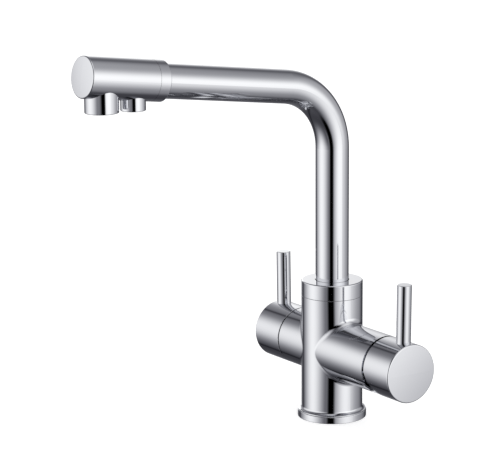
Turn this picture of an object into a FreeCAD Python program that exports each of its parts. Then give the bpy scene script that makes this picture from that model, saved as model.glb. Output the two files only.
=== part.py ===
"""Three way filtered water tap: a deck-mounted kitchen mixer with a second, filtered water channel.

Frame: millimetres, +Z up, origin on the worktop at the centre of the base. The mixer barrel points
along +X, the filtered water barrel along -X, and the spout reaches along -Y, towards the user.
Each function below builds one physical piece, and the table at the end names the nodes.
"""
import FreeCAD
import Part

import math
import os

V = FreeCAD.Vector
Z = V(0, 0, 1)

# ---------------------------------------------------------------- driving dimensions
# column and base
COLUMN_R = 24.0
COLUMN_TOP = 110.0
COLLAR_SEAM = 98.0
SEAM_GAP = 0.15
SEAM_EDGE = 0.15
COLLAR_EDGE = 1.0
BASE_RING_R = 27.0
BASE_RING_H = 5.6
FLARE_R = 26.6
FLARE_EDGE_H = 0.7
COVE_R = 2.5
SPIGOT_R = 22.0
BASE_CAVITY_R = 19.0
BASE_CAVITY_H = 24.0
BODY_FOOT = 0.5
BLEND_R = 4.5
GASKET_OUTER_R = 25.6
GASKET_INNER_R = 23.4
GASKET_H = 1.6

# barrels: distances run outward from the column's axis
BARREL_R = 22.7
BARREL_Z = 55.8
MIXER_RIM = 67.2
FILTER_RIM = 40.0
RIM_BORE_R = 19.05
MIXER_GAP = 2.0
FILTER_GAP = 1.4

# handle caps and lever pins
MIXER_CAP_END = 99.2
FILTER_CAP_END = 72.8
CAP_CROWN_R = 500.0
CAP_EDGE = 1.0
CAP_INNER_R = 19.9
CAP_WALL = 3.0
HUB_R = 8.5
HUB_SETBACK = 7.0
CAP_CUT_DEG = 20.0
LEVER_R = 5.6
LEVER_LEAN_DEG = 1.0
LEVER_SEAT = 20.5
LEVER_BOSS_R = 7.6
LEVER_BOSS_FOOT = 4.0
LEVER_TAIL_R = 3.0
LEVER_TAIL_FOOT = 10.4
MIXER_LEVER_AT = 88.9
FILTER_LEVER_AT = 63.5
MIXER_LEVER_TOP = 67.5
FILTER_LEVER_TOP = 64.6
SCREW_R = 2.0
SCREW_LENGTH = 4.6
SCREW_SETBACK = 13.8
HEX_SOCKET_R = 1.15
PLUG_R = 3.0

# mixer cartridge, 35 mm size
CARTRIDGE_R = 17.5
CARTRIDGE_SEAT = 34.0
CARTRIDGE_TOP = 60.0
CARTRIDGE_CAVITY_R = 15.2
CARTRIDGE_BASE_TOP = 38.0
CARTRIDGE_PORT_R = 3.0
PORT_SEAL_R = 4.5
PORT_SEAL_H = 1.5
PEG_R = 1.5
PEG_LENGTH = 2.0
PEG_AT = 13.0
MIXED_PORT_R = 3.2
MIXED_PORT_DROP = 6.0
OUTLET_PORT_R = 4.0
OUTLET_PORT_RISE = 8.2
MIXER_PIVOT = 67.7
PIVOT_PIN_R = 1.5
ROTOR_NECK_R = 11.6
STEM_W = 7.0
STEM_H = 8.0
STEM_END = 88.0
BALL_R = 1.9
BALL_AT = 48.6
DISC_R = 11.5
DISC_OFFSET = 3.3
FIXED_DISC_TOP = 42.2
MOVING_DISC_TOP = 46.25
NUT_TOP = 64.0
BONNET_R = 19.3
BONNET_BORE_R = 16.5
BONNET_TOP = 75.0

# filtered water valve
VALVE_SEAT = 22.0
VALVE_R = 12.0
VALVE_CAVITY_R = 9.6
VALVE_SHOULDER = 36.0
VALVE_PORT = 4.5
VALVE_PORT_R = 2.3
VALVE_DISC_R = 9.4
VALVE_DISC_SEAM = 27.1
VALVE_DISC_TOP = 30.1
VALVE_SEAL_H = 2.0
SPINDLE_R = 5.0
SPINDLE_SHOULDER = 48.0
SPINDLE_END = 60.0
SPINDLE_SQUARE = 7.0
SPINDLE_RING_AT = 40.9

# brass block in the base cavity, with the water inlets and the stud hole
INLET_BLOCK_TOP = 40.0
INLET_R = 4.5
INLET_DEPTH = 12.0
STUD_R = 3.4
STUD_DEPTH = 14.0
STUD_X = 14.5
MIXED_INLET_X = 4.0
MIXED_INLET_Y = 8.5
FILTER_INLET_X = -11.0

# swivel joint at the foot of the spout
SEAL_BORE_R = 13.2
SEAL_FLOOR = 65.0
GUIDE_BORE_R = 17.0
GUIDE_FLOOR = 80.0
NECK_TOP = 104.0
NECK_R = 21.5
DUST_SEAL_R = 14.6
DUST_SEAL_LOW = 106.0
DUST_SEAL_TOP = 109.0
COLLAR_SCREW_Z = 101.0
STEM_TUBE_R = 4.0
STEM_TUBE_BORE_R = 2.4
STEM_TUBE_FOOT = 58.0
STEM_TUBE_TOP = 77.0
STEM_RING_AT = 72.8
SWIVEL_FOOT = 68.5
SWIVEL_FLANGE_R = 16.6
SWIVEL_FLANGE_LOW = 81.9
SWIVEL_SPIGOT_TOP = 98.0
SWIVEL_RINGS_AT = (72.2, 76.6)

# spout
TUBE_R = 13.0
TUBE_BORE_R = 11.5
TUBE_FOOT = 86.0
BEND_R = 52.0
CORNER_Z = 260.1
ARM_RISE_DEG = 7.7
COUPLING_FOOT = 148.0
COUPLING_STEP = 157.8
COUPLING_SEAM = 167.0
COUPLING_EDGE = 0.8
COUPLING_SPIGOT_R = 12.6
COUPLING_SPIGOT_END = 173.5
COUPLING_RING_AT = 170.4
HEAD_R = 15.5
HEAD_CAVITY_R = 11.8
HEAD_END = 225.3
HEAD_WALL = 3.0
HEAD_CROWN_R = 220.0
HEAD_EDGE = 1.0
HOSE_R = 4.0
HOSE_BORE_R = 2.8
HOSE_FOOT = 87.0
HOSE_END = 175.0

# outlets, which point straight down
MAIN_OUTLET_AT = 208.8
MAIN_BOSS_R = 12.6
MAIN_BORE_R = 10.6
MAIN_WATERWAY_R = 8.0
MAIN_BOTTOM_Z = 262.9
MAIN_SHOULDER_Z = 273.8
MAIN_WASHER_H = 1.7
FILTER_OUTLET_AT = 182.0
FILTER_BOSS_R = 9.4
FILTER_BORE_R = 7.9
FILTER_BOTTOM_Z = 261.9
FILTER_SHOULDER_Z = 270.0
FILTER_WASHER_H = 1.3
ELBOW_R = 5.15
ELBOW_BORE_R = 1.9
ELBOW_RING_Z = 271.5
INSERT_HOLE_R = 0.75
INSERT_WALL = 1.2
INSERT_FLOOR = 2.0
LIP_W = 0.9
LIP_H = 1.0
OUTLET_SETBACK = 0.5
MAIN_HOUSING_R = 9.3
FILTER_HOUSING_R = 6.7

# clearances
PRESS = 0.02
RUNNING = 0.05
FREE = 0.1
OVERRUN = 1.0

# ---------------------------------------------------------------- frames of the sub-assemblies
# In a barrel's own frame +X is up and +Z runs outward along the barrel.
MIXER_SIDE = FreeCAD.Placement(V(0, 0, BARREL_Z), FreeCAD.Rotation(V(1, 0, 1), 180))
FILTER_SIDE = FreeCAD.Placement(V(0, 0, BARREL_Z), FreeCAD.Rotation(V(0, 1, 0), -90))
# In the arm's own frame +Z runs forward along the arm from the corner of the two axes.
ARM = FreeCAD.Placement(V(0, 0, CORNER_Z), FreeCAD.Rotation(V(1, 0, 0), 90 - ARM_RISE_DEG))
ARM_RISE = math.radians(ARM_RISE_DEG)


# ---------------------------------------------------------------- helpers
def placed(shape, placement):
    """The shape moved from a sub-assembly's frame to the tap's frame."""
    moved = shape.copy()
    moved.Placement = placement.multiply(moved.Placement)
    return moved


def turned(*corners):
    """Solid of revolution about Z through (radius, height) corners."""
    points = [V(radius, 0, height) for radius, height in corners]
    face = Part.Face(Part.makePolygon(points + [points[0]]))
    return face.revolve(V(0, 0, 0), Z, 360)


def rod(radius, low, high, x=0.0, y=0.0):
    """Cylinder along Z from low to high."""
    return Part.makeCylinder(radius, high - low, V(x, y, low))


def ring(outer, inner, low, high):
    """Tube along Z from low to high."""
    return turned((inner, low), (outer, low), (outer, high), (inner, high))


def rubber_ring(outer, section, height):
    """Rubber ring of round section, given by its outer radius, at the given height."""
    return Part.makeTorus(outer - section / 2, section / 2, V(0, 0, height))


def block(x_low, x_high, y_half, z_low, z_high):
    """Box that is centred on Y."""
    return Part.makeBox(x_high - x_low, 2 * y_half, z_high - z_low, V(x_low, -y_half, z_low))


def crosswise_rod(radius, y_half, height):
    """Cylinder along Y through the Z axis at the given height."""
    return Part.makeCylinder(radius, 2 * y_half, V(0, -y_half, height), V(0, 1, 0))


def hexagon(circumradius, low, high):
    """Hexagonal prism along Z."""
    corners = []
    for degrees in range(0, 360, 60):
        angle = math.radians(degrees)
        corners.append(V(circumradius * math.cos(angle), circumradius * math.sin(angle), low))
    return Part.Face(Part.makePolygon(corners + [corners[0]])).extrude(V(0, 0, high - low))


def hole_circle(count, pitch_r, hole_r, low, high, start_deg=0.0):
    """Rods along Z, evenly spaced on a pitch circle."""
    holes = []
    for i in range(count):
        angle = math.radians(start_deg + 360 * i / count)
        holes.append(rod(hole_r, low, high, pitch_r * math.cos(angle), pitch_r * math.sin(angle)))
    return holes


def rims(shape, radius, height):
    """The shape's round edges of that radius at that height."""
    found = []
    for edge in shape.Edges:
        if edge.Degenerated:
            continue
        curve = edge.Curve
        if isinstance(curve, Part.Circle) and abs(curve.Radius - radius) < 1e-3:
            if abs(curve.Center.z - height) < 1e-3 and abs(abs(curve.Axis.z) - 1) < 1e-6:
                found.append(edge)
    return found


def rounded(shape, size, radius, height):
    """The shape with its rims of that radius and height rounded."""
    return shape.makeFillet(size, rims(shape, radius, height))


def crowned(shape, radius, end, crown_r, edge):
    """The turned shape with its flat outer end made very slightly domed, and the rim of that end rounded."""
    dome = Part.makeSphere(crown_r, V(0, 0, end - crown_r), V(0, 1, 0))
    rim_height = end - crown_r + math.sqrt(crown_r ** 2 - radius ** 2)
    return rounded(shape.common(dome), edge, radius, rim_height)


def arm_point(distance):
    """The point of the arm's axis at a distance from the corner, in the tap's frame."""
    return V(0, -distance * math.cos(ARM_RISE), CORNER_Z + distance * math.sin(ARM_RISE))


def bent_rod(radius, foot, reach):
    """Round bar up the riser, round the bend and along the arm, foot and reach being its two ends."""
    bend_angle = 90 - ARM_RISE_DEG
    tangent = BEND_R * math.tan(math.radians(bend_angle / 2))
    riser = rod(radius, foot, CORNER_Z - tangent)
    circle = Part.makeCircle(radius, V(0, 0, CORNER_Z - tangent), Z)
    section = Part.Face(Part.Wire(circle))
    bend = section.revolve(V(0, -BEND_R, CORNER_Z - tangent), V(1, 0, 0), bend_angle)
    arm = placed(rod(radius, tangent, reach), ARM)
    return riser.fuse([bend, arm]).removeSplitter()


# ---------------------------------------------------------------- body on the worktop
def base_gasket():
    return ring(GASKET_OUTER_R, GASKET_INNER_R, 0.0, GASKET_H)


def base_ring():
    """Flange ring with a groove for the gasket in its underside."""
    groove = ring(GASKET_OUTER_R + FREE, GASKET_INNER_R - FREE, -OVERRUN, GASKET_H + FREE)
    plain = ring(BASE_RING_R, SPIGOT_R + PRESS, 0.0, BASE_RING_H)
    edged = rounded(plain, 0.5, BASE_RING_R, BASE_RING_H)
    edged = rounded(edged, 0.4, BASE_RING_R, 0.0)
    return edged.cut(groove)


def flared_column():
    """Column that widens to the base ring through a small cove."""
    column = rod(COLUMN_R, BASE_RING_H, COLLAR_SEAM - SEAM_GAP / 2)
    flare_top = BASE_RING_H + FLARE_EDGE_H
    flared = column.fuse(rod(FLARE_R, BASE_RING_H, flare_top)).removeSplitter()
    return rounded(flared, COVE_R, COLUMN_R, flare_top)


def body_outside():
    """Column and both barrels in one, with the soft blend where they meet."""
    column = flared_column()
    mixer = placed(rod(BARREL_R, 0, MIXER_RIM), MIXER_SIDE)
    filtered = placed(rod(BARREL_R, 0, FILTER_RIM), FILTER_SIDE)
    joined = column.fuse([mixer, filtered]).removeSplitter()
    meeting = [e for e in joined.Edges if not isinstance(e.Curve, (Part.Circle, Part.Line))]
    blended = joined.makeFillet(BLEND_R, meeting)
    foot = rod(SPIGOT_R, BODY_FOOT, BASE_RING_H)
    neck = rod(NECK_R, COLLAR_SEAM - SEAM_GAP, NECK_TOP)
    return blended.fuse([foot, neck]).removeSplitter()


def body_swivel_bores():
    """Bores on the column's axis for the foot of the spout and the filtered water stem."""
    seal = rod(SEAL_BORE_R, SEAL_FLOOR, GUIDE_FLOOR)
    guide = rod(GUIDE_BORE_R, GUIDE_FLOOR, NECK_TOP)
    stem_socket = rod(STEM_TUBE_R + PRESS, STEM_TUBE_FOOT, SEAL_FLOOR)
    return [seal, guide, stem_socket]


def body_mixer_bores():
    """Cartridge bore with its three ports and two peg holes."""
    bore = rod(CARTRIDGE_R + RUNNING, CARTRIDGE_SEAT, CARTRIDGE_TOP + FREE)
    thread = rod(RIM_BORE_R, CARTRIDGE_TOP + FREE, MIXER_RIM)
    outlet = rod(OUTLET_PORT_R, MIXED_INLET_X * 2, CARTRIDGE_SEAT, OUTLET_PORT_RISE)
    tools = [bore, thread, outlet]
    for side in (-1, 1):
        tools.append(rod(PEG_R + FREE, CARTRIDGE_SEAT - PEG_LENGTH - FREE, CARTRIDGE_SEAT, 0, side * PEG_AT))
        tools.append(rod(MIXED_PORT_R, MIXED_INLET_X, CARTRIDGE_SEAT, -MIXED_PORT_DROP, side * MIXED_INLET_Y))
    return [placed(tool, MIXER_SIDE) for tool in tools]


def body_filter_bores():
    """Headwork bore with its inlet port above and its outlet port below the barrel's axis."""
    bore = rod(VALVE_R + RUNNING, VALVE_SEAT, VALVE_SHOULDER)
    thread = rod(RIM_BORE_R, VALVE_SHOULDER, FILTER_RIM)
    inlet = rod(VALVE_PORT_R, -FILTER_INLET_X, VALVE_SEAT, VALVE_PORT)
    outlet = rod(VALVE_PORT_R, 0, VALVE_SEAT, -VALVE_PORT)
    return [placed(tool, FILTER_SIDE) for tool in (bore, thread, inlet, outlet)]


def inlet_drillings(low):
    """Waterways that rise from the three inlets to the height of their ports."""
    mixed_top = BARREL_Z - MIXED_PORT_DROP
    mixed = [rod(MIXED_PORT_R, low, mixed_top, MIXED_INLET_X, side * MIXED_INLET_Y) for side in (-1, 1)]
    return mixed + [rod(VALVE_PORT_R, low, BARREL_Z + VALVE_PORT, FILTER_INLET_X)]


def body_casting():
    """Brass body: its outside, the hollow that takes the inlet block, and every waterway and bore."""
    hollow = rod(BASE_CAVITY_R, 0, INLET_BLOCK_TOP + PRESS)
    filtered_rise = rod(VALVE_PORT_R, BARREL_Z - VALVE_PORT, STEM_TUBE_FOOT)
    waterways = inlet_drillings(INLET_BLOCK_TOP) + [filtered_rise]
    bores = body_swivel_bores() + body_mixer_bores() + body_filter_bores()
    body = body_outside().cut([hollow] + waterways + bores)
    return rounded(body, SEAM_EDGE, COLUMN_R, COLLAR_SEAM - SEAM_GAP / 2)


def inlet_block():
    """Round block brazed into the body, with the three threaded inlets and the blind stud hole."""
    floor = BASE_CAVITY_H
    plain = rod(BASE_CAVITY_R - PRESS, floor, INLET_BLOCK_TOP)
    top = floor + INLET_DEPTH
    inlets = [rod(INLET_R, floor, top, MIXED_INLET_X, side * MIXED_INLET_Y) for side in (-1, 1)]
    inlets.append(rod(INLET_R, floor, top, FILTER_INLET_X))
    stud = rod(STUD_R, floor, floor + STUD_DEPTH, STUD_X)
    return plain.cut(inlets + inlet_drillings(floor) + [stud])


def collar_ring():
    """Cap ring over the body's neck; its small hole guides the riser out."""
    low = COLLAR_SEAM + SEAM_GAP / 2
    hole = TUBE_R + 0.4
    roof = NECK_TOP + 0.2
    collar = turned((NECK_R + FREE, low), (COLUMN_R, low), (COLUMN_R, COLUMN_TOP), (hole, COLUMN_TOP),
                    (hole, DUST_SEAL_TOP), (DUST_SEAL_R, DUST_SEAL_TOP), (DUST_SEAL_R, DUST_SEAL_LOW),
                    (hole, DUST_SEAL_LOW), (hole, roof), (NECK_R + FREE, roof))
    collar = rounded(collar, COLLAR_EDGE, COLUMN_R, COLUMN_TOP)
    collar = rounded(collar, SEAM_EDGE, COLUMN_R, low)
    hole_start = V(0, NECK_R - OVERRUN, COLLAR_SCREW_Z)
    screw_hole = Part.makeCylinder(SCREW_R + PRESS, COLUMN_R, hole_start, V(0, 1, 0))
    return collar.cut(screw_hole)


def collar_screw():
    """Set screw in the back of the collar, with its hexagon socket."""
    length = 1.6
    socket_floor = 0.65
    screw = rod(SCREW_R, 0, length).cut(hexagon(HEX_SOCKET_R, socket_floor, length + OVERRUN))
    backwards = FreeCAD.Rotation(V(1, 0, 0), -90)
    return placed(screw, FreeCAD.Placement(V(0, NECK_R + 0.15, COLLAR_SCREW_Z), backwards))


def spout_dust_seal():
    return ring(DUST_SEAL_R - FREE, TUBE_R + RUNNING, DUST_SEAL_LOW + FREE, DUST_SEAL_TOP - FREE)


def spout_upper_bush():
    return ring(GUIDE_BORE_R - PRESS, TUBE_R + RUNNING, TUBE_FOOT + 0.4, NECK_TOP)


def spout_lower_bush():
    return ring(GUIDE_BORE_R - PRESS, SEAL_BORE_R + FREE, GUIDE_FLOOR, SWIVEL_FLANGE_LOW - FREE)


def filtered_water_stem():
    """Upright tube on the column's axis, with a groove for its rubber ring near the top."""
    groove_r = 3.2
    groove_half = 0.8
    tube = ring(STEM_TUBE_R, STEM_TUBE_BORE_R, STEM_TUBE_FOOT, STEM_TUBE_TOP)
    groove = ring(STEM_TUBE_R + OVERRUN, groove_r, STEM_RING_AT - groove_half, STEM_RING_AT + groove_half)
    return tube.cut(groove)


def stem_oring():
    return rubber_ring(STEM_TUBE_R - PRESS, 0.76, STEM_RING_AT)


# ---------------------------------------------------------------- mixer cartridge, fixed pieces
def cartridge_port_holes(radius, low, high):
    """Two inlets below the axis and one outlet above it, as in the body."""
    inlets = [rod(radius, low, high, -MIXED_PORT_DROP, side * MIXED_INLET_Y) for side in (-1, 1)]
    return inlets + [rod(radius, low, high, OUTLET_PORT_RISE)]


def mixer_cartridge_base():
    """Plate with its pegs, its ports and the recesses that hold the port seals."""
    seat = CARTRIDGE_SEAT
    plate = rod(CARTRIDGE_R, seat, CARTRIDGE_BASE_TOP)
    pegs = [rod(PEG_R, seat - PEG_LENGTH, seat, 0, side * PEG_AT) for side in (-1, 1)]
    ports = cartridge_port_holes(CARTRIDGE_PORT_R, seat - OVERRUN, CARTRIDGE_BASE_TOP + OVERRUN)
    recesses = cartridge_port_holes(PORT_SEAL_R + FREE, seat - OVERRUN, seat + PORT_SEAL_H + FREE)
    return placed(plate.fuse(pegs).cut(ports + recesses), MIXER_SIDE)


def mixer_port_seals():
    seat = CARTRIDGE_SEAT
    rings = cartridge_port_holes(PORT_SEAL_R, seat, seat + PORT_SEAL_H)
    holes = cartridge_port_holes(CARTRIDGE_PORT_R + FREE, seat, seat + PORT_SEAL_H)
    seals = [outer.cut(hole) for outer, hole in zip(rings, holes)]
    return placed(Part.makeCompound(seals), MIXER_SIDE)


def mixer_cartridge_body():
    """Shell round the discs, closed by a collar that keeps the rotor in."""
    low = CARTRIDGE_BASE_TOP + PRESS
    collar_low = CARTRIDGE_TOP - 2.0
    collar_r = ROTOR_NECK_R + FREE
    shell = turned((CARTRIDGE_CAVITY_R, low), (CARTRIDGE_R, low), (CARTRIDGE_R, CARTRIDGE_TOP),
                   (collar_r, CARTRIDGE_TOP), (collar_r, collar_low), (CARTRIDGE_CAVITY_R, collar_low))
    return placed(shell, MIXER_SIDE)


def mixer_fixed_disc():
    low = CARTRIDGE_BASE_TOP + FREE
    disc = rod(CARTRIDGE_CAVITY_R - 0.3, low, FIXED_DISC_TOP)
    return placed(disc.cut(cartridge_port_holes(CARTRIDGE_PORT_R - FREE, low, FIXED_DISC_TOP)), MIXER_SIDE)


def mixer_retaining_nut():
    """Ring nut with four slots for its spanner."""
    bore = 12.2
    slot_start = 13.0
    slot_half = 1.5
    nut = ring(RIM_BORE_R - PRESS, bore, CARTRIDGE_TOP + FREE + PRESS, NUT_TOP)
    slots = []
    for turn in (0, 90, 180, 270):
        slot = block(slot_start, RIM_BORE_R + OVERRUN, slot_half, NUT_TOP - slot_half, NUT_TOP + OVERRUN)
        slot.rotate(V(0, 0, 0), Z, turn)
        slots.append(slot)
    return placed(nut.cut(slots), MIXER_SIDE)


def mixer_bonnet():
    """Shroud whose face is a zone of a ball about the handle's pivot, so the tilting cap clears it."""
    skirt = ring(RIM_BORE_R - PRESS, BONNET_BORE_R, NUT_TOP + FREE, MIXER_RIM)
    ball = Part.makeSphere(BONNET_R, V(0, 0, MIXER_PIVOT))
    zone = ball.common(ring(BONNET_R + OVERRUN, BONNET_BORE_R, MIXER_RIM, BONNET_TOP))
    return placed(skirt.fuse(zone).removeSplitter(), MIXER_SIDE)


# ---------------------------------------------------------------- mixer cartridge, moving pieces
def mixer_rotor():
    """Turning sleeve with a long slot, in which the stem tips."""
    foot = 51.3
    shoulder = CARTRIDGE_TOP - 2.3
    top = 70.4
    wide = CARTRIDGE_CAVITY_R - 0.6
    slot_half = STEM_W / 2 + 0.3
    sleeve = turned((0, foot), (wide, foot), (wide, shoulder), (ROTOR_NECK_R, shoulder), (ROTOR_NECK_R, top),
                    (0, top))
    low_slot = block(-4.8, 11.0, slot_half, foot - OVERRUN, CARTRIDGE_TOP)
    high_slot = block(-5.6, 7.6, slot_half, CARTRIDGE_TOP, top + OVERRUN)
    pin_hole = crosswise_rod(PIVOT_PIN_R + PRESS, CARTRIDGE_R, MIXER_PIVOT)
    return placed(sleeve.cut([low_slot, high_slot, pin_hole]), MIXER_SIDE)


def mixer_pivot_pin():
    return placed(crosswise_rod(PIVOT_PIN_R, ROTOR_NECK_R - 0.6, MIXER_PIVOT), MIXER_SIDE)


def mixer_stem():
    """Square stem on the pivot pin: its ball end pushes the disc carrier, its outer end holds the cap."""
    bar_foot = 52.0
    neck_r = 1.2
    bar = block(-STEM_H / 2, STEM_H / 2, STEM_W / 2, bar_foot, STEM_END)
    neck = rod(neck_r, BALL_AT, bar_foot)
    ball = Part.makeSphere(BALL_R, V(0, 0, BALL_AT))
    pin_hole = crosswise_rod(PIVOT_PIN_R + RUNNING, CARTRIDGE_R, MIXER_PIVOT)
    return placed(bar.fuse([neck, ball]).cut(pin_hole), MIXER_SIDE)


def mixer_disc_carrier():
    """Slider on the moving disc, with a round socket for the stem's ball."""
    low = MOVING_DISC_TOP + RUNNING
    top = 51.0
    socket = rod(BALL_R + FREE, low + 0.2, top + OVERRUN)
    return placed(rod(DISC_R, low, top, -DISC_OFFSET).cut(socket), MIXER_SIDE)


def mixer_moving_disc():
    """Ceramic disc with the pocket that joins the ports below it."""
    low = FIXED_DISC_TOP + RUNNING
    pocket_r = 6.5
    pocket_depth = 1.95
    pocket_shift = 1.5
    disc = rod(DISC_R, low, MOVING_DISC_TOP, -DISC_OFFSET)
    pocket = rod(pocket_r, low - OVERRUN, low + pocket_depth, pocket_shift - DISC_OFFSET)
    return placed(disc.cut(pocket), MIXER_SIDE)


# ---------------------------------------------------------------- handle caps, shared by both sides
def cap_blank(rim, end):
    """Turned cap from its rim outward: hollow, with a hub in the middle of its end wall."""
    floor = end - CAP_WALL
    hub_low = rim + HUB_SETBACK
    cap = turned((0, hub_low), (HUB_R, hub_low), (HUB_R, floor), (CAP_INNER_R, floor), (CAP_INNER_R, rim),
                 (BARREL_R, rim), (BARREL_R, end), (0, end))
    cap = crowned(cap, BARREL_R, end, CAP_CROWN_R, CAP_EDGE)
    return rounded(cap, 0.3, BARREL_R, rim)


def lever_frame(lever_at):
    """Frame whose Z runs up a lever pin from the barrel's axis."""
    return FreeCAD.Placement(V(0, 0, lever_at), FreeCAD.Rotation(V(0, 1, 0), 90 - LEVER_LEAN_DEG))


def lever_boss(rim, end, lever_at):
    """Round boss between the hub and the cap's wall, which the lever pin screws into."""
    boss = placed(rod(LEVER_BOSS_R, LEVER_BOSS_FOOT, CAP_INNER_R + OVERRUN), lever_frame(lever_at))
    inside = rod(CAP_INNER_R + 1.2, rim + HUB_SETBACK, end - OVERRUN)
    return boss.common(inside)


def lever_holes(lever_at):
    """Seat and thread of the lever pin."""
    seat = rod(LEVER_R + PRESS, LEVER_SEAT, BARREL_R + OVERRUN)
    thread = rod(LEVER_TAIL_R + PRESS, LEVER_TAIL_FOOT - 0.4, LEVER_SEAT + OVERRUN)
    return [placed(hole, lever_frame(lever_at)) for hole in (seat, thread)]


def screw_at(rim):
    """Where along the barrel the set screw stands."""
    return rim + SCREW_SETBACK


def below_axis(radius, near, far, along):
    """Cylinder that stands on the underside of a barrel's axis, from near to far."""
    return Part.makeCylinder(radius, far - near, V(-near, 0, along), V(-1, 0, 0))


def square_socket(width, depth, rim, end):
    """Socket along a barrel's axis for a square stem."""
    return block(-width / 2 - RUNNING, width / 2 + RUNNING, depth / 2 + RUNNING, rim, end + 0.2)


def handle_cap(rim, end, lever_at, socket):
    """Cap with its lever boss, stem socket, set screw thread and access hole."""
    cap = cap_blank(rim, end).fuse(lever_boss(rim, end, lever_at)).removeSplitter()
    thread = below_axis(SCREW_R + PRESS, 3.0, HUB_R + OVERRUN, screw_at(rim))
    access = below_axis(PLUG_R + PRESS, CAP_INNER_R - 2.0, BARREL_R + OVERRUN, screw_at(rim))
    return cap.cut(lever_holes(lever_at) + [socket, thread, access])


def lever_pin(lever_at, top):
    """Plain round pin with a reduced, threaded tail."""
    pin = turned((0, LEVER_TAIL_FOOT), (LEVER_TAIL_R, LEVER_TAIL_FOOT), (LEVER_TAIL_R, LEVER_SEAT),
                 (LEVER_R, LEVER_SEAT), (LEVER_R, top), (0, top))
    return placed(rounded(pin, 0.5, LEVER_R, top), lever_frame(lever_at))


def grub_screw(rim, near):
    """Set screw that presses on the stem, with its hexagon socket."""
    socket_depth = 1.6
    screw = rod(SCREW_R, near, near + SCREW_LENGTH)
    socket = hexagon(HEX_SOCKET_R, near + SCREW_LENGTH - socket_depth, near + SCREW_LENGTH + OVERRUN)
    downwards = FreeCAD.Rotation(V(0, 1, 0), -90)
    return placed(screw.cut(socket), FreeCAD.Placement(V(0, 0, screw_at(rim)), downwards))


def hole_plug(rim):
    """Plug over the set screw's access hole, finished almost flush with the cap."""
    plug = below_axis(PLUG_R, CAP_INNER_R, BARREL_R + OVERRUN, screw_at(rim))
    return plug.common(rod(BARREL_R - FREE, rim, screw_at(rim) + PLUG_R + OVERRUN))


# ---------------------------------------------------------------- mixer handle
MIXER_CAP_RIM = MIXER_RIM + MIXER_GAP


def mixer_handle_cap():
    """Cap whose lower half is cut back on the slant, to make room for its tilt."""
    socket = square_socket(STEM_H, STEM_W, MIXER_CAP_RIM, STEM_END)
    cap = handle_cap(MIXER_CAP_RIM, MIXER_CAP_END, MIXER_LEVER_AT, socket)
    size = 2 * BARREL_R
    wedge = Part.makeBox(size, 2 * size, size, V(-size, -size, -size))
    slant = FreeCAD.Placement(V(0, 0, MIXER_CAP_RIM), FreeCAD.Rotation(V(0, 1, 0), CAP_CUT_DEG))
    return placed(cap.cut(placed(wedge, slant)), MIXER_SIDE)


def mixer_lever_pin():
    return placed(lever_pin(MIXER_LEVER_AT, MIXER_LEVER_TOP), MIXER_SIDE)


def mixer_grub_screw():
    return placed(grub_screw(MIXER_CAP_RIM, STEM_H / 2), MIXER_SIDE)


def mixer_hole_plug():
    return placed(hole_plug(MIXER_CAP_RIM), MIXER_SIDE)


# ---------------------------------------------------------------- filtered water valve and handle
FILTER_CAP_RIM = FILTER_RIM + FILTER_GAP


def valve_ports(radius, low, high):
    """The two ports of the filtered water valve."""
    return [rod(radius, low, high, side * VALVE_PORT) for side in (-1, 1)]


def filter_valve_body():
    """Brass headwork: cup for the discs, hexagon and neck for the spindle."""
    cup_low = VALVE_SEAT + FREE
    cup_top = VALVE_SHOULDER + 0.2
    cup_floor = 33.0
    neck_r = 8.0
    neck_top = SPINDLE_SHOULDER - 2.0
    nut_r = 15.4
    nut_h = 3.8
    bore = SPINDLE_R + RUNNING
    cup = turned((VALVE_CAVITY_R, cup_low), (VALVE_R, cup_low), (VALVE_R, cup_top), (neck_r, cup_top),
                 (neck_r, neck_top), (bore, neck_top), (bore, cup_floor), (VALVE_CAVITY_R, cup_floor))
    nut = hexagon(nut_r, cup_top, cup_top + nut_h).cut(rod(neck_r - 0.5, VALVE_SHOULDER, neck_top))
    return placed(cup.fuse(nut).removeSplitter(), FILTER_SIDE)


def filter_valve_seal():
    low = VALVE_SEAT + RUNNING
    high = VALVE_SEAT + VALVE_SEAL_H
    disc = rod(VALVE_DISC_R, low, high).cut(valve_ports(VALVE_PORT_R + 0.2, low, high))
    return placed(disc, FILTER_SIDE)


def filter_fixed_disc():
    low = VALVE_SEAT + VALVE_SEAL_H + RUNNING
    disc = rod(VALVE_DISC_R, low, VALVE_DISC_SEAM)
    return placed(disc.cut(valve_ports(VALVE_PORT_R, low, VALVE_DISC_SEAM)), FILTER_SIDE)


def filter_bonnet():
    """Gland ring inside the barrel's rim."""
    top = FILTER_RIM + 2.6
    bore = 16.0
    gland = ring(RIM_BORE_R - PRESS, bore, VALVE_SHOULDER + 0.2, top)
    return placed(rounded(gland, 0.5, RIM_BORE_R - PRESS, top), FILTER_SIDE)


def filter_moving_disc():
    """Ceramic disc whose slot joins the two ports after a quarter turn."""
    low = VALVE_DISC_SEAM + RUNNING
    slot_depth = 1.65
    disc = rod(VALVE_DISC_R, low, VALVE_DISC_TOP)
    slot = block(-VALVE_PORT_R, VALVE_PORT_R, VALVE_PORT + VALVE_PORT_R, low - OVERRUN, low + slot_depth)
    return placed(disc.cut(slot), FILTER_SIDE)


def filter_spindle():
    """Spindle with its driving flange, ring groove and square end."""
    flange_low = VALVE_DISC_TOP + RUNNING
    flange_top = flange_low + 2.55
    groove_r = 4.0
    groove_half = 0.9
    flange = rod(VALVE_DISC_R, flange_low, flange_top)
    shank = rod(SPINDLE_R, flange_top, SPINDLE_SHOULDER)
    groove = ring(SPINDLE_R + OVERRUN, groove_r, SPINDLE_RING_AT - groove_half, SPINDLE_RING_AT + groove_half)
    half = SPINDLE_SQUARE / 2
    square = block(-half, half, half, SPINDLE_SHOULDER, SPINDLE_END)
    return placed(flange.fuse([shank, square]).removeSplitter().cut(groove), FILTER_SIDE)


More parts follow.
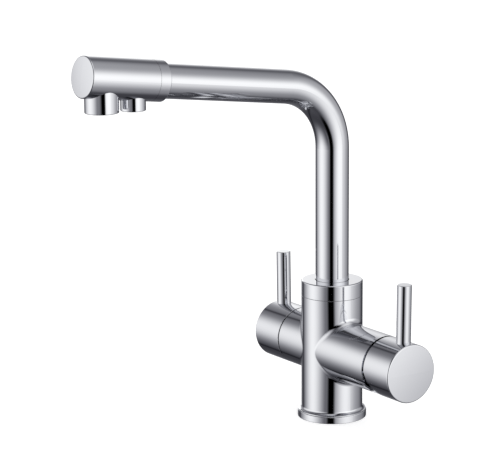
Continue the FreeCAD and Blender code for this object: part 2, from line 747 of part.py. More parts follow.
def filter_spindle_oring():
    return placed(rubber_ring(SPINDLE_R - PRESS, 0.96, SPINDLE_RING_AT), FILTER_SIDE)


def filter_handle_cap():
    socket = square_socket(SPINDLE_SQUARE, SPINDLE_SQUARE, FILTER_CAP_RIM, SPINDLE_END)
    return placed(handle_cap(FILTER_CAP_RIM, FILTER_CAP_END, FILTER_LEVER_AT, socket), FILTER_SIDE)


def filter_lever_pin():
    return placed(lever_pin(FILTER_LEVER_AT, FILTER_LEVER_TOP), FILTER_SIDE)


def filter_grub_screw():
    return placed(grub_screw(FILTER_CAP_RIM, SPINDLE_SQUARE / 2), FILTER_SIDE)


def filter_hole_plug():
    return placed(hole_plug(FILTER_CAP_RIM), FILTER_SIDE)


# ---------------------------------------------------------------- spout
def swivel_insert():
    """Plug in the riser's foot: seal grooves, flange, six waterways, and the hose barb in its middle."""
    seal_r = SEAL_BORE_R - RUNNING
    spigot = TUBE_BORE_R - PRESS
    spigot_bore = 9.4
    groove_r = 11.6
    groove_half = 1.2
    waterway_r = 2.1
    waterway_circle = 7.0
    hose_bore_r = 1.8
    stem_bore_top = STEM_TUBE_TOP + 3.0
    plug = turned((0, SWIVEL_FOOT), (seal_r, SWIVEL_FOOT), (seal_r, SWIVEL_FLANGE_LOW),
                  (SWIVEL_FLANGE_R, SWIVEL_FLANGE_LOW), (SWIVEL_FLANGE_R, TUBE_FOOT), (spigot, TUBE_FOOT),
                  (spigot, SWIVEL_SPIGOT_TOP), (spigot_bore, SWIVEL_SPIGOT_TOP), (spigot_bore, TUBE_FOOT),
                  (0, TUBE_FOOT))
    barb = rod(HOSE_BORE_R - RUNNING, TUBE_FOOT, SWIVEL_SPIGOT_TOP - 2.0)
    outer = SEAL_BORE_R + OVERRUN
    grooves = [ring(outer, groove_r, at - groove_half, at + groove_half) for at in SWIVEL_RINGS_AT]
    waterways = hole_circle(6, waterway_circle, waterway_r, SWIVEL_FOOT, TUBE_FOOT + OVERRUN, 30)
    stem_bore = rod(STEM_TUBE_R + RUNNING, SWIVEL_FOOT, stem_bore_top)
    hose_bore = rod(hose_bore_r, stem_bore_top, SWIVEL_SPIGOT_TOP)
    return plug.fuse(barb).cut(grooves + waterways + [stem_bore, hose_bore])


def swivel_orings():
    return Part.makeCompound([rubber_ring(SEAL_BORE_R - 0.06, 1.52, at) for at in SWIVEL_RINGS_AT])


def spout_tube():
    """Bent tube of the riser and the arm."""
    solid = bent_rod(TUBE_R, TUBE_FOOT + PRESS, COUPLING_STEP - FREE)
    return solid.cut(bent_rod(TUBE_BORE_R, TUBE_FOOT - OVERRUN, COUPLING_STEP + OVERRUN))


def spout_coupling():
    """Connector that steps up from the tube's size to the head's; its spigots enter both."""
    bore = 9.3
    tube_spigot = TUBE_BORE_R - PRESS
    seam = COUPLING_SEAM - FREE
    groove_r = 11.8
    groove_half = 1.0
    body = turned((bore, COUPLING_FOOT), (tube_spigot, COUPLING_FOOT), (tube_spigot, COUPLING_STEP),
                  (HEAD_R, COUPLING_STEP), (HEAD_R, seam), (COUPLING_SPIGOT_R, seam),
                  (COUPLING_SPIGOT_R, COUPLING_SPIGOT_END), (bore, COUPLING_SPIGOT_END))
    groove = ring(HEAD_R, groove_r, COUPLING_RING_AT - groove_half, COUPLING_RING_AT + groove_half)
    return placed(rounded(body, COUPLING_EDGE, HEAD_R, COUPLING_STEP).cut(groove), ARM)


def coupling_oring():
    return placed(rubber_ring(COUPLING_SPIGOT_R + 0.04, 0.68, COUPLING_RING_AT), ARM)


def outlet_boss(distance, radius, bottom):
    """Round boss that hangs from the arm's axis, straight down."""
    point = arm_point(distance)
    boss = rod(radius, bottom, point.z, 0, point.y)
    return rounded(boss, 0.6, radius, bottom)


def spout_head():
    """Closed head with both outlet bosses and their stepped bores."""
    plain = rod(HEAD_R, COUPLING_SEAM + FREE, HEAD_END)
    outside = crowned(plain, HEAD_R, HEAD_END, HEAD_CROWN_R, HEAD_EDGE)
    socket_end = COUPLING_SPIGOT_END + 0.5
    socket = placed(rod(COUPLING_SPIGOT_R + RUNNING, COUPLING_SEAM, socket_end), ARM)
    cavity = placed(rod(HEAD_CAVITY_R, COUPLING_SPIGOT_END, HEAD_END - HEAD_WALL), ARM)
    main = arm_point(MAIN_OUTLET_AT)
    filtered = arm_point(FILTER_OUTLET_AT)
    bosses = [outlet_boss(MAIN_OUTLET_AT, MAIN_BOSS_R, MAIN_BOTTOM_Z),
              outlet_boss(FILTER_OUTLET_AT, FILTER_BOSS_R, FILTER_BOTTOM_Z)]
    head = placed(outside, ARM).fuse(bosses).removeSplitter()
    bores = [rod(MAIN_BORE_R, MAIN_BOTTOM_Z - OVERRUN, MAIN_SHOULDER_Z, 0, main.y),
             rod(MAIN_WATERWAY_R, MAIN_SHOULDER_Z - OVERRUN, main.z, 0, main.y),
             rod(FILTER_BORE_R, FILTER_BOTTOM_Z - OVERRUN, FILTER_SHOULDER_Z, 0, filtered.y),
             rod(ELBOW_R + PRESS, FILTER_SHOULDER_Z - OVERRUN, filtered.z, 0, filtered.y)]
    return head.cut([socket, cavity] + bores)


def filtered_water_hose():
    """Inner hose from the barb in the swivel to the barb of the elbow."""
    solid = bent_rod(HOSE_R, HOSE_FOOT, HOSE_END)
    return solid.cut(bent_rod(HOSE_BORE_R, HOSE_FOOT - OVERRUN, HOSE_END + OVERRUN))


def filter_outlet_elbow():
    """Elbow from the hose down through the head's wall, with a groove for its rubber ring."""
    point = arm_point(FILTER_OUTLET_AT)
    barb_foot = FILTER_OUTLET_AT - 15.0
    knuckle_r = 6.0
    shank_r = 5.0
    groove_r = 4.2
    groove_half = 0.7
    down = rod(ELBOW_R, FILTER_SHOULDER_Z + FREE, point.z, 0, point.y)
    knuckle = Part.makeSphere(knuckle_r, point)
    shank = placed(rod(shank_r, HOSE_END + 0.2, FILTER_OUTLET_AT), ARM)
    barb = placed(rod(HOSE_BORE_R - RUNNING, barb_foot, FILTER_OUTLET_AT), ARM)
    bore_down = rod(ELBOW_BORE_R, FILTER_SHOULDER_Z, point.z, 0, point.y)
    bore_along = placed(rod(ELBOW_BORE_R, barb_foot - OVERRUN, FILTER_OUTLET_AT), ARM)
    groove = ring(ELBOW_R + OVERRUN, groove_r, ELBOW_RING_Z - groove_half, ELBOW_RING_Z + groove_half)
    cuts = [bore_down, bore_along, at_outlet(groove, FILTER_OUTLET_AT)]
    return down.fuse([knuckle, shank, barb]).cut(cuts)


def elbow_oring():
    return at_outlet(rubber_ring(ELBOW_R - 0.11, 0.84, ELBOW_RING_Z), FILTER_OUTLET_AT)


# ---------------------------------------------------------------- outlets
def at_outlet(shape, distance):
    """The shape moved from the Z axis to an outlet's axis."""
    moved = shape.copy()
    moved.translate(V(0, arm_point(distance).y, 0))
    return moved


def outlet_housing(outer, inner, bottom, top, distance):
    """Threaded ring with a lip that the insert rests on."""
    lip = inner - LIP_W
    lip_top = bottom + LIP_H
    housing = turned((lip, bottom), (outer, bottom), (outer, top), (inner, top), (inner, lip_top),
                     (lip, lip_top))
    return at_outlet(rounded(housing, 0.3, outer, bottom), distance)


def outlet_insert(radius, low, high, circles, distance):
    """Plastic flow straightener: a cup with rings of round holes, given as (count, pitch radius)."""
    floor_top = low + INSERT_FLOOR
    cup = rod(radius, low, high).cut(rod(radius - INSERT_WALL, floor_top, high + OVERRUN))
    holes = [rod(INSERT_HOLE_R, low - OVERRUN, floor_top + OVERRUN)]
    for count, pitch_r in circles:
        holes += hole_circle(count, pitch_r, INSERT_HOLE_R, low - OVERRUN, floor_top + OVERRUN)
    return at_outlet(cup.cut(holes), distance)


def aerator_housing():
    low = MAIN_BOTTOM_Z + OUTLET_SETBACK
    top = MAIN_SHOULDER_Z - MAIN_WASHER_H - FREE
    return outlet_housing(MAIN_BORE_R - PRESS, MAIN_HOUSING_R, low, top, MAIN_OUTLET_AT)


def aerator_insert():
    low = MAIN_BOTTOM_Z + OUTLET_SETBACK + LIP_H + FREE
    top = MAIN_SHOULDER_Z - MAIN_WASHER_H - 0.3
    circles = ((6, 2.6), (12, 5.2), (16, 7.2))
    return outlet_insert(MAIN_HOUSING_R - FREE, low, top, circles, MAIN_OUTLET_AT)


def aerator_washer():
    bore = 7.6
    washer = ring(MAIN_BORE_R - FREE, bore, MAIN_SHOULDER_Z - MAIN_WASHER_H, MAIN_SHOULDER_Z - FREE)
    return at_outlet(washer, MAIN_OUTLET_AT)


def filter_outlet_housing():
    low = FILTER_BOTTOM_Z + OUTLET_SETBACK
    top = FILTER_SHOULDER_Z - FILTER_WASHER_H - FREE
    return outlet_housing(FILTER_BORE_R - PRESS, FILTER_HOUSING_R, low, top, FILTER_OUTLET_AT)


def filter_outlet_insert():
    low = FILTER_BOTTOM_Z + OUTLET_SETBACK + LIP_H + FREE
    top = FILTER_SHOULDER_Z - FILTER_WASHER_H - 0.3
    circles = ((6, 2.4), (11, 4.7))
    return outlet_insert(FILTER_HOUSING_R - FREE, low, top, circles, FILTER_OUTLET_AT)


def filter_outlet_washer():
    bore = 3.4
    washer = ring(FILTER_BORE_R - FREE, bore, FILTER_SHOULDER_Z - FILTER_WASHER_H, FILTER_SHOULDER_Z - FREE)
    return at_outlet(washer, FILTER_OUTLET_AT)


# ---------------------------------------------------------------- nodes
PIECES = (
    base_gasket, base_ring, body_casting, inlet_block, collar_ring, collar_screw, spout_dust_seal,
    spout_upper_bush, spout_lower_bush, filtered_water_stem, stem_oring,
    mixer_cartridge_base, mixer_port_seals, mixer_cartridge_body, mixer_fixed_disc, mixer_retaining_nut,
    mixer_bonnet, mixer_rotor, mixer_pivot_pin, mixer_stem, mixer_disc_carrier, mixer_moving_disc,
    mixer_handle_cap, mixer_lever_pin, mixer_grub_screw, mixer_hole_plug,
    filter_valve_body, filter_valve_seal, filter_fixed_disc, filter_bonnet, filter_moving_disc,
    filter_spindle, filter_spindle_oring, filter_handle_cap, filter_lever_pin, filter_grub_screw,
    filter_hole_plug,
    swivel_insert, swivel_orings, spout_tube, spout_coupling, coupling_oring, spout_head,
    filtered_water_hose, filter_outlet_elbow, elbow_oring,
    aerator_housing, aerator_insert, aerator_washer,
    filter_outlet_housing, filter_outlet_insert, filter_outlet_washer,
)


def main():
    """Build every piece, check it and write it under its node's name."""
    os.makedirs("parts", exist_ok=True)
    for piece in PIECES:
        shape = piece()
        name = piece.__name__
        if not shape.isValid() or not shape.Solids:
            raise ValueError(name + " is not a valid solid")
        shape.exportStep("parts/" + name + ".step")
        print(f"{name:24s} solids {len(shape.Solids):2d}  volume {shape.Volume:10.1f}")


if __name__ == "__main__":
    main()
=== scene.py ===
"""Looks of the three way filtered water tap: its finishes, the studio round it and the camera."""

import logging
import math
from dataclasses import dataclass, field
from enum import Enum
from typing import Any, ClassVar, Dict, List, Optional, Tuple

import bmesh
import bpy
from mathutils import Matrix, Vector

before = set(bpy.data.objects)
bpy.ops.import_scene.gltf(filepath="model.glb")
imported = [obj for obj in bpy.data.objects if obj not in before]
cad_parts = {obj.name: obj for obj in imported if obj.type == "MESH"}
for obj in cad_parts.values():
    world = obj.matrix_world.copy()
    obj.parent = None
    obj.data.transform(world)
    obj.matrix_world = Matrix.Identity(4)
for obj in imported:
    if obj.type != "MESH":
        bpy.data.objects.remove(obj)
log = logging.getLogger("tap")

Tree = bpy.types.NodeTree
Node = bpy.types.Node
Socket = bpy.types.NodeSocket
Material = bpy.types.Material
Colour = Tuple[float, float, float, float]

MM = 0.001
# The sRGB curve: a straight foot up to its limit, and a power above it.
BYTE_MAX = 255
SRGB_LIMIT = 0.04045
SRGB_FOOT_SLOPE = 12.92
SRGB_OFFSET = 0.055
SRGB_POWER = 2.4
# A Mix node's colour result comes after its number and its vector.
MIX_COLOUR = 2
# The power of a bell curve is this times the squared distance.
BELL_FACTOR = -0.5
# A flat map of the sphere about one direction keeps angles when it is scaled by 2 over 1 plus the cosine.
MAP_SCALE = 2.0
# That 1, raised a little so that the point straight behind is still on the map.
MAP_DEPTH = 1.0001


# ------------------------------------------------------------------ colours and nodes
def linear(hex_colour: str) -> Colour:
    """Turn an sRGB hex colour into linear light.

    Args:
        hex_colour: The colour as "#RRGGBB".

    Returns:
        Linear red, green and blue with an alpha of 1.
    """
    channels = []
    for start in (1, 3, 5):
        value = int(hex_colour[start:start + 2], 16) / BYTE_MAX
        if value <= SRGB_LIMIT:
            channels.append(value / SRGB_FOOT_SLOPE)
        else:
            channels.append(((value + SRGB_OFFSET) / (1 + SRGB_OFFSET)) ** SRGB_POWER)
    return (channels[0], channels[1], channels[2], 1.0)


def add_node(tree: Tree, kind: str, links: Optional[Dict[Any, Any]] = None, **settings: Any) -> Node:
    """Add a node, with its settings and what feeds its inputs.

    Args:
        tree: The node tree to add to.
        kind: The node's type, such as "ShaderNodeMath".
        links: For each input, by identifier, name or number, a socket to link or a value to set.
        **settings: The node's own properties.

    Returns:
        The new node.
    """
    node = tree.nodes.new(kind)
    for name, value in settings.items():
        setattr(node, name, value)
    by_identifier = {socket.identifier: socket for socket in node.inputs}
    for key, value in (links or {}).items():
        socket = by_identifier[key] if key in by_identifier else node.inputs[key]
        if isinstance(value, Socket):
            tree.links.new(value, socket)
        else:
            socket.default_value = value
    return node


def maths(tree: Tree, operation: str, *values: Any) -> Socket:
    """Work out a number from sockets and numbers.

    Args:
        tree: The node tree to add to.
        operation: What the Math node does.
        *values: What it does it with.

    Returns:
        The result.
    """
    return add_node(tree, "ShaderNodeMath", dict(enumerate(values)), operation=operation).outputs[0]


def dot(tree: Tree, first: Any, second: Any) -> Socket:
    """Multiply two vectors into a number.

    Args:
        tree: The node tree to add to.
        first: One vector.
        second: The other vector.

    Returns:
        Their dot product.
    """
    node = add_node(tree, "ShaderNodeVectorMath", {0: first, 1: second}, operation="DOT_PRODUCT")
    return node.outputs["Value"]


def bell(tree: Tree, square: Socket) -> Socket:
    """Give the height of a bell curve.

    Args:
        tree: The node tree to add to.
        square: The squared distance from its middle, in half widths.

    Returns:
        1 in the middle, and less away from it.
    """
    return maths(tree, "EXPONENT", maths(tree, "MULTIPLY", square, BELL_FACTOR))


def new_material(name: str) -> Material:
    """Start a material with an empty node tree.

    Args:
        name: Its name.

    Returns:
        The material.
    """
    material = bpy.data.materials.new(name)
    material.use_nodes = True
    material.node_tree.nodes.clear()
    return material


# ------------------------------------------------------------------ where the surfaces were worked
class WorkAxis(Enum):
    """The axis that a piece was turned, drawn or buffed about: a point in metres and a turn in degrees."""

    COLUMN = ((0.0, 0.0, 0.0), (0.0, 0.0, 0.0))
    BARREL = ((0.0, 0.0, 0.0558), (0.0, 90.0, 0.0))
    ARM = ((0.0, 0.0, 0.2601), (82.3, 0.0, 0.0))
    MAIN_OUTLET = ((0.0, -0.20692, 0.27), (0.0, 0.0, 0.0))
    FILTER_OUTLET = ((0.0, -0.18036, 0.27), (0.0, 0.0, 0.0))

    def coordinates(self, tree: Tree) -> Socket:
        """Give coordinates whose Z runs along this axis.

        Args:
            tree: The material's node tree.

        Returns:
            A vector socket, in metres from the axis's point.
        """
        point, turn = self.value
        texture = add_node(tree, "ShaderNodeTexCoord")
        mapping = add_node(tree, "ShaderNodeMapping", {
            "Vector": texture.outputs["Object"], "Location": point,
            "Rotation": [math.radians(angle) for angle in turn]}, vector_type="TEXTURE")
        return mapping.outputs["Vector"]


# ------------------------------------------------------------------ finishes
@dataclass(frozen=True)
class Finish:
    """A real material and the way its surface was made.

    Attributes:
        name: The material's common name.
        colour: Its colour, in sRGB.
        worn: The colour that it drifts to in patches.
        roughness: How matt it is where it is at its cleanest.
        haze: How much rougher it gets in patches.
        patch_mm: The size of these patches.
    """

    PATCH_DETAIL: ClassVar[float] = 4.0

    name: str
    colour: str
    worn: str
    roughness: float
    haze: float
    patch_mm: float

    def material(self, axis: WorkAxis) -> Material:
        """Give the finish on pieces that were worked about one axis.

        Args:
            axis: The axis of the machine marks.

        Returns:
            The material, which is made the first time.
        """
        title = f"{self.name}_{axis.name.lower()}"
        found = bpy.data.materials.get(title)
        if found:
            return found
        material = new_material(title)
        tree = material.node_tree
        place = axis.coordinates(tree)
        noise = add_node(tree, "ShaderNodeTexNoise", {
            "Vector": place, "Scale": 1 / (self.patch_mm * MM), "Detail": self.PATCH_DETAIL})
        patches = noise.outputs["Fac"]
        colour = add_node(tree, "ShaderNodeMix", {
            "Factor_Float": patches, "A_Color": linear(self.colour), "B_Color": linear(self.worn)},
            data_type="RGBA")
        rough = maths(tree, "MULTIPLY_ADD", patches, self.haze, self.roughness)
        shader = add_node(tree, "ShaderNodeBsdfPrincipled", {
            "Base Color": colour.outputs[MIX_COLOUR], "Roughness": rough})
        self.refine(tree, shader, place)
        add_node(tree, "ShaderNodeOutputMaterial", {"Surface": shader.outputs["BSDF"]})
        return material

    def refine(self, tree: Tree, shader: Node, place: Socket) -> None:
        """Set what is particular to this finish; each kind of finish does this its own way.

        Args:
            tree: The material's node tree.
            shader: Its shader.
            place: Coordinates whose Z runs along the axis of the machine marks.
        """
        raise NotImplementedError

    @staticmethod
    def emboss(tree: Tree, shader: Node, height: Socket, depth_mm: float) -> None:
        """Raise a pattern on the surface.

        Args:
            tree: The material's node tree.
            shader: Its shader.
            height: The pattern, from 0 to 1.
            depth_mm: How deep it is, in millimetres.
        """
        bump = add_node(tree, "ShaderNodeBump", {
            "Height": height, "Strength": 1.0, "Distance": depth_mm * MM})
        tree.links.new(bump.outputs["Normal"], shader.inputs["Normal"])


@dataclass(frozen=True)
class PolishedPlate(Finish):
    """Bright plating over buffed metal: a clear mirror, softened here and there by the buffing wheel.

    Attributes:
        ripple_mm: The length of the waves that buffing leaves.
        ripple_depth_mm: Their depth.
    """

    RIPPLE_DETAIL: ClassVar[float] = 1.0

    ripple_mm: float
    ripple_depth_mm: float

    def refine(self, tree: Tree, shader: Node, place: Socket) -> None:
        """Add the slight waviness that buffing leaves under the plating.

        Args:
            tree: The material's node tree.
            shader: Its shader.
            place: Coordinates whose Z runs along the axis of the machine marks.
        """
        shader.inputs["Metallic"].default_value = 1.0
        waves = add_node(tree, "ShaderNodeTexNoise", {
            "Vector": place, "Scale": 1 / (self.ripple_mm * MM), "Detail": self.RIPPLE_DETAIL})
        self.emboss(tree, shader, waves.outputs["Fac"], self.ripple_depth_mm)


@dataclass(frozen=True)
class TurnedMetal(Finish):
    """Metal off the lathe: fine rings about its axis, which stretch each highlight into a line.

    Attributes:
        feed_mm: The distance from ring to ring.
        ring_depth_mm: The depth of the rings.
    """

    # The bands of a Wave texture with a scale of 1 are this far apart.
    BAND_SPACING: ClassVar[float] = 0.314
    RING_WANDER: ClassVar[float] = 0.6
    RING_DETAIL: ClassVar[float] = 2.0

    feed_mm: float
    ring_depth_mm: float

    def refine(self, tree: Tree, shader: Node, place: Socket) -> None:
        """Add the tool's rings, with a spacing that wanders a little.

        Args:
            tree: The material's node tree.
            shader: Its shader.
            place: Coordinates whose Z runs along the axis of the machine marks.
        """
        shader.inputs["Metallic"].default_value = 1.0
        rings = add_node(tree, "ShaderNodeTexWave", {
            "Vector": place, "Scale": self.BAND_SPACING / (self.feed_mm * MM),
            "Distortion": self.RING_WANDER, "Detail": self.RING_DETAIL},
            wave_type="BANDS", bands_direction="Z")
        self.emboss(tree, shader, rings.outputs["Fac"], self.ring_depth_mm)


@dataclass(frozen=True)
class Moulded(Finish):
    """Plastic, rubber or ceramic from a mould: even and soft, with the mould's own fine grain.

    Attributes:
        grain_mm: The size of the grain.
        grain_depth_mm: Its depth.
        subsurface: The share of the light that enters the surface.
    """

    LIGHT_DEPTH_MM: ClassVar[float] = 1.0

    grain_mm: float
    grain_depth_mm: float
    subsurface: float = 0.0

    def refine(self, tree: Tree, shader: Node, place: Socket) -> None:
        """Add the grain, and the light that pale plastic lets in.

        Args:
            tree: The material's node tree.
            shader: Its shader.
            place: Coordinates whose Z runs along the axis of the machine marks.
        """
        shader.inputs["Subsurface Weight"].default_value = self.subsurface
        shader.inputs["Subsurface Scale"].default_value = self.LIGHT_DEPTH_MM * MM
        grain = add_node(tree, "ShaderNodeTexVoronoi", {"Vector": place, "Scale": 1 / (self.grain_mm * MM)})
        self.emboss(tree, shader, grain.outputs["Distance"], self.grain_depth_mm)


# Chromium plate on buffed brass: cool grey, darker than silver, and clear enough to mirror a dark card.
CHROME = PolishedPlate("polished_chrome", "#DDDEE2", "#DADBDF", 0.035, 0.03, 22.0, 9.0, 0.0006)
# Nickel plate on turned brass: a warm grey, darker and softer than chromium.
NICKEL = TurnedMetal("nickel_plated_brass", "#B4AFA6", "#A6A197", 0.20, 0.10, 6.0, 0.25, 0.002)
# Brass as the lathe leaves it: warm yellow, dulled in places by handling.
BRASS = TurnedMetal("machined_brass", "#CDAA62", "#B8924C", 0.22, 0.14, 6.0, 0.25, 0.004)
# Stainless steel pins and screws: grey with a satin sheen.
STEEL = TurnedMetal("turned_stainless_steel", "#B9BABD", "#A7A8AB", 0.24, 0.10, 5.0, 0.20, 0.003)
# Nitrile rubber: near black and matt, with a faint grey bloom.
RUBBER = Moulded("nitrile_rubber", "#171718", "#242426", 0.50, 0.18, 3.0, 0.25, 0.010)
# Acetal: white, slightly waxy, with soft highlights.
ACETAL = Moulded("moulded_acetal", "#E8E7E1", "#DFDDD5", 0.34, 0.12, 8.0, 0.40, 0.004, 0.10)
# Lapped alumina: off-white and as smooth as glass, with only a faint mottling from its grains.
CERAMIC = Moulded("lapped_alumina", "#DEDCD6", "#D2D0CA", 0.12, 0.08, 2.0, 0.15, 0.001)
# Polyethylene hose: milky, a little blue, and soft to the light.
HOSE = Moulded("polyethylene_hose", "#D9E1E8", "#C9D4DD", 0.30, 0.10, 10.0, 0.60, 0.003, 0.25)
# Grey acetal of the flow straighteners.
OUTLET = Moulded("grey_acetal", "#C4C6C8", "#B6B8BB", 0.32, 0.12, 5.0, 0.30, 0.004, 0.05)

Dressing = List[Tuple[Finish, Tuple[str, ...]]]


# ------------------------------------------------------------------ sub-assemblies
@dataclass
class SubAssembly:
    """Pieces of the tap that are dressed together.

    Attributes:
        title: What the log calls it.
        axis: The axis that most of its pieces were worked about.
        finishes: The nodes that each finish covers.
        other_axes: Nodes that were worked about another axis.
    """

    title: str
    axis: WorkAxis
    finishes: Dressing
    other_axes: Dict[str, WorkAxis] = field(default_factory=dict)

    def dress(self) -> None:
        """Put each piece's material on and report it."""
        for finish, nodes in self.finishes:
            for name in nodes:
                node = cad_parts[name]
                material = finish.material(self.other_axes.get(name, self.axis))
                node.data.materials.clear()
                node.data.materials.append(material)
                log.info("%s: %s in %s", self.title, name, material.name)


@dataclass
class DeckBody(SubAssembly):
    """What stands fixed on the worktop: base, casting, inlets, collar and the seats of the spout."""

    title: str = "deck body"
    axis: WorkAxis = WorkAxis.COLUMN
    finishes: Dressing = field(default_factory=lambda: [
        (CHROME, ("base_ring", "body_casting", "collar_ring")),
        (BRASS, ("inlet_block", "filtered_water_stem")),
        (STEEL, ("collar_screw",)),
        (RUBBER, ("base_gasket", "spout_dust_seal", "stem_oring")),
        (ACETAL, ("spout_upper_bush", "spout_lower_bush")),
    ])


@dataclass
class MixerControl(SubAssembly):
    """The mixer's cartridge, its shroud, and the handle with its lever."""

    title: str = "mixer control"
    axis: WorkAxis = WorkAxis.BARREL
    finishes: Dressing = field(default_factory=lambda: [
        (CHROME, ("mixer_bonnet", "mixer_handle_cap", "mixer_lever_pin", "mixer_hole_plug")),
        (BRASS, ("mixer_retaining_nut",)),
        (STEEL, ("mixer_pivot_pin", "mixer_stem", "mixer_grub_screw")),
        (RUBBER, ("mixer_port_seals",)),
        (ACETAL, ("mixer_cartridge_base", "mixer_cartridge_body", "mixer_rotor", "mixer_disc_carrier")),
        (CERAMIC, ("mixer_fixed_disc", "mixer_moving_disc")),
    ])


@dataclass
class FilterControl(SubAssembly):
    """The filtered water valve, and its handle with its lever."""

    title: str = "filter control"
    axis: WorkAxis = WorkAxis.BARREL
    finishes: Dressing = field(default_factory=lambda: [
        (CHROME, ("filter_handle_cap", "filter_lever_pin", "filter_hole_plug")),
        (NICKEL, ("filter_bonnet",)),
        (BRASS, ("filter_valve_body", "filter_spindle")),
        (STEEL, ("filter_grub_screw",)),
        (RUBBER, ("filter_valve_seal", "filter_spindle_oring")),
        (CERAMIC, ("filter_fixed_disc", "filter_moving_disc")),
    ])


@dataclass
class Spout(SubAssembly):
    """The swivelling spout with its inner hose."""

    title: str = "spout"
    axis: WorkAxis = WorkAxis.ARM
    finishes: Dressing = field(default_factory=lambda: [
        (CHROME, ("spout_tube", "spout_coupling", "spout_head")),
        (BRASS, ("swivel_insert", "filter_outlet_elbow")),
        (RUBBER, ("swivel_orings", "coupling_oring", "elbow_oring")),
        (HOSE, ("filtered_water_hose",)),
    ])
    other_axes: Dict[str, WorkAxis] = field(default_factory=lambda: {
        "swivel_insert": WorkAxis.COLUMN,
        "swivel_orings": WorkAxis.COLUMN,
        "filter_outlet_elbow": WorkAxis.FILTER_OUTLET,
        "elbow_oring": WorkAxis.FILTER_OUTLET,
    })


@dataclass
class Outlets(SubAssembly):
    """The two outlets under the spout's head."""

    title: str = "outlets"
    axis: WorkAxis = WorkAxis.MAIN_OUTLET
    finishes: Dressing = field(default_factory=lambda: [
        (CHROME, ("aerator_housing", "filter_outlet_housing")),
        (OUTLET, ("aerator_insert", "filter_outlet_insert")),
        (RUBBER, ("aerator_washer", "filter_outlet_washer")),
    ])
    other_axes: Dict[str, WorkAxis] = field(default_factory=lambda: {
        "filter_outlet_housing": WorkAxis.FILTER_OUTLET,
        "filter_outlet_insert": WorkAxis.FILTER_OUTLET,
        "filter_outlet_washer": WorkAxis.FILTER_OUTLET,
    })


# ------------------------------------------------------------------ studio
def direction(azimuth_deg: float, elevation_deg: float = 0.0) -> Vector:
    """Give a compass direction, where azimuth 0 is towards the user (-Y) and 90 towards +X.

    Args:
        azimuth_deg: The azimuth, in degrees.
        elevation_deg: The height above the horizon, in degrees.

    Returns:
        The unit vector that points there.
    """
    azimuth = math.radians(azimuth_deg)
    elevation = math.radians(elevation_deg)
    return Vector((math.sin(azimuth) * math.cos(elevation), -math.cos(azimuth) * math.cos(elevation),
                   math.sin(elevation)))


def to_the_right(azimuth_deg: float) -> Vector:
    """Give the level direction a quarter turn on from a compass direction.

    Args:
        azimuth_deg: The azimuth that is faced, in degrees.

    Returns:
        The unit vector that points there.
    """
    return direction(azimuth_deg + 90)


def add_object(name: str, bm: bmesh.types.BMesh, material: Material) -> bpy.types.Object:
    """Turn a bmesh into an object of the scene.

    Args:
        name: The object's name.
        bm: Its shape, which is used up.
        material: Its material.

    Returns:
        The object.
    """
    mesh = bpy.data.meshes.new(name)
    bm.to_mesh(mesh)
    bm.free()
    mesh.materials.append(material)
    made = bpy.data.objects.new(name, mesh)
    bpy.context.scene.collection.objects.link(made)
    return made


@dataclass(frozen=True)
class SoftLight:
    """One soft patch of light on the studio's tent.

    Attributes:
        azimuth: Its compass direction, in degrees.
        elevation: Its height above the horizon, in degrees.
        half_width: Half its width at the waist of its falloff, in degrees.
        half_height: Half its height there, in degrees.
        level: Its brightness in the middle.
        flatness: 1 for an even falloff, and more for a flatter middle with a steeper edge.
    """

    azimuth: float
    elevation: float
    half_width: float
    half_height: float
    level: float
    flatness: float

    def glow(self, tree: Tree, ray: Socket, below: Socket) -> Socket:
        """Add the patch to the light that is already there.

        Args:
            tree: The world's node tree.
            ray: The direction that is looked in.
            below: The brightness so far.

        Returns:
            The brightness with this patch.
        """
        front = direction(self.azimuth, self.elevation)
        side = to_the_right(self.azimuth)
        rise = side.cross(front).normalized()
        across = dot(tree, ray, side * (MAP_SCALE / math.radians(self.half_width)))
        along = dot(tree, ray, rise * (MAP_SCALE / math.radians(self.half_height)))
        depth = maths(tree, "ADD", dot(tree, ray, front), MAP_DEPTH)
        spread = add_node(tree, "ShaderNodeCombineXYZ", {"X": across, "Y": along})
        flat = add_node(tree, "ShaderNodeVectorMath", {0: spread.outputs["Vector"], 1: depth},
                        operation="DIVIDE").outputs["Vector"]
        steep = maths(tree, "POWER", dot(tree, flat, flat), self.flatness)
        return maths(tree, "MULTIPLY_ADD", bell(tree, steep), self.level, below)


@dataclass(frozen=True)
class TentSeam:
    """One upright seam between two cloths of the tent, which polished metal shows as a thin dark line.

    Attributes:
        azimuth: Its compass direction, in degrees.
        half_width: Half its width at the waist of its falloff, in degrees.
        depth: The share of the light that it takes away in its middle.
    """

    azimuth: float
    half_width: float
    depth: float

    def shade(self, tree: Tree, ray: Socket, light: Socket) -> Socket:
        """Take the seam out of the light that is there.

        Args:
            tree: The world's node tree.
            ray: The direction that is looked in.
            light: The brightness without the seam.

        Returns:
            The brightness with it.
        """
        across = dot(tree, ray, to_the_right(self.azimuth) / math.radians(self.half_width))
        dark = bell(tree, maths(tree, "MULTIPLY", across, across))
        ahead = maths(tree, "GREATER_THAN", dot(tree, ray, direction(self.azimuth)), 0.0)
        here = maths(tree, "MULTIPLY", dark, ahead)
        left = maths(tree, "MULTIPLY_ADD", here, -self.depth, 1.0)
        return maths(tree, "MULTIPLY", left, light)


